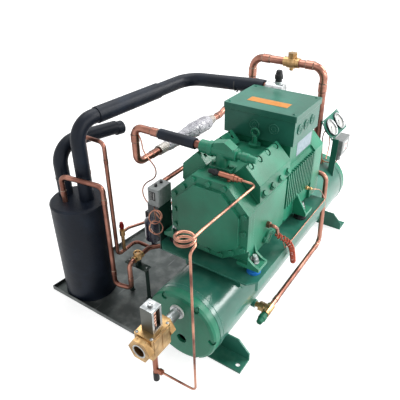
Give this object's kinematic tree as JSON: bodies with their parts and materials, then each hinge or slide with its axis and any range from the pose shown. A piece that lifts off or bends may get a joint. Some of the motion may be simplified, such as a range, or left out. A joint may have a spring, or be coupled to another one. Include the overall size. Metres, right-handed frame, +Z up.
{
  "type": "refrigeration condensing unit",
  "caption": "Water-cooled condensing unit: piston compressor on a shell-and-tube condenser, with an accumulator, oil separator, gauges and pipework over a side tray.",
  "frame": {"origin": "on the floor, in the middle of the four holes in the feet", "axes": "+Z is up, +Y runs along the condenser and the crankshaft, away from the end with the water valve, and +X is to the right seen from that end, away from the tray"},
  "size_m": [0.7292, 1.226, 0.693],
  "materials": {
    "green_paint": "semi-gloss green enamel",
    "dark_green": "dark green enamel",
    "copper": "drawn copper, dulled",
    "brass": "machined brass",
    "black_foam": "closed-cell foam, matt",
    "black_rubber": "moulded rubber",
    "black_paint": "black paint, semi-matt",
    "zinc": "zinc-plated steel",
    "plain_steel": "machined steel",
    "iron": "cast, machined where it runs",
    "lamination": "stacked sheet steel",
    "piston_metal": "turned aluminium",
    "braid": "woven wire braid",
    "black_plastic": "moulded, matt",
    "grey_plastic": "moulded, matt",
    "gauge_black": "black enamel",
    "pointer_black": "matt black",
    "blue_grey": "blue-grey paint",
    "flex": "ribbed flexible lead"
  },
  "bodies": {
    "unit": {"condenser_shell": "green_paint", "condenser_tubes": "copper", "tube_sheets": "green_paint", "front_water_box": "green_paint", "rear_water_box": "green_paint", "water_box_bolts": "zinc", "feet": "green_paint", "rail_saddles": "green_paint", "mounting_rail": "green_paint", "dampers": "black_rubber", "damper_bolts": "zinc", "drip_tray": "green_paint", "compressor_housing": "green_paint", "bearing_cover": "green_paint", "motor_cover": "green_paint", "compressor_bolts": "green_paint", "valve_plates": "iron", "right_cylinder_head": "green_paint", "left_cylinder_head": "green_paint", "stator": "lamination", "discharge_valve": "green_paint", "suction_valve": "green_paint", "discharge_spindle_cap": "brass", "valve_caps": "black_plastic", "terminal_box": "green_paint", "terminal_lid": "green_paint", "lifting_eye": "zinc", "oil_sight_glass": "brass", "discharge_pipes": "copper", "vibration_absorber": "braid", "oil_separator": "green_paint", "hot_gas_pipe": "copper", "check_valve": "brass", "accumulator": "black_paint", "accumulator_foam": "black_foam", "suction_pipes": "copper", "line_foam": "black_foam", "condenser_liquid_pipe": "copper", "tray_pipes": "copper", "filter_drier": "blue_grey", "brass_valves": "brass", "pressure_controls": "grey_plastic", "sheet_brackets": "dark_green", "gauge_cases": "gauge_black", "water_nipple": "zinc", "water_valve_body": "brass", "water_valve_housing": "zinc", "water_valve_spring": "plain_steel", "heater_lead": "flex", "capillaries": "copper"},
    "shaft": {"crankshaft": "iron", "rotor": "lamination"},
    "right_front_piston": {"right_front_piston": "piston_metal"},
    "right_rear_piston": {"right_rear_piston": "piston_metal"},
    "left_front_piston": {"left_front_piston": "piston_metal"},
    "left_rear_piston": {"left_rear_piston": "piston_metal"},
    "near_pointer": {"near_pointer": "pointer_black"},
    "far_pointer": {"far_pointer": "pointer_black"},
    "valve_stem": {"water_valve_stem": "plain_steel"},
    "valve_screw": {"water_valve_screw": "zinc"}
  },
  "joints": [
    {"name": "shaft_spin", "type": "hinge", "parent": "unit", "child": "shaft", "pos_m": [0, -0.2, 0.427], "axis": [0, 1, 0], "continuous": true},
    {"name": "right_front_piston_slide", "type": "slide", "parent": "unit", "child": "right_front_piston", "axis": [0.7071, 0, 0.7071], "range_m": [-0.0273, 0.0047]},
    {"name": "right_rear_piston_slide", "type": "slide", "parent": "unit", "child": "right_rear_piston", "axis": [0.7071, 0, 0.7071], "range_m": [-0.0047, 0.0273]},
    {"name": "left_front_piston_slide", "type": "slide", "parent": "unit", "child": "left_front_piston", "axis": [-0.7071, 0, 0.7071], "range_m": [-0.0273, 0.0047]},
    {"name": "left_rear_piston_slide", "type": "slide", "parent": "unit", "child": "left_rear_piston", "axis": [-0.7071, 0, 0.7071], "range_m": [-0.0047, 0.0273]},
    {"name": "near_pointer_turn", "type": "hinge", "parent": "unit", "child": "near_pointer", "pos_m": [0.03774, 0.4435, 0.39969], "axis": [0.788, 0, 0.6157], "range_deg": [-270, 0], "stiffness_Nm_per_rad": 0.002},
    {"name": "far_pointer_turn", "type": "hinge", "parent": "unit", "child": "far_pointer", "pos_m": [0.03774, 0.5235, 0.39969], "axis": [0.788, 0, 0.6157], "range_deg": [-270, 0], "stiffness_Nm_per_rad": 0.002},
    {"name": "valve_stem_slide", "type": "slide", "parent": "unit", "child": "valve_stem", "axis": [0, 0, 1], "range_m": [0, 0.008], "stiffness_N_per_m": 3000, "springref_m": -0.002, "deforming": ["water_valve_spring"]},
    {"name": "valve_screw_turn", "type": "hinge", "parent": "unit", "child": "valve_screw", "pos_m": [-0.007, -0.605, 0.31], "axis": [0, 0, 1], "range_deg": [-720, 720]}
  ]
}
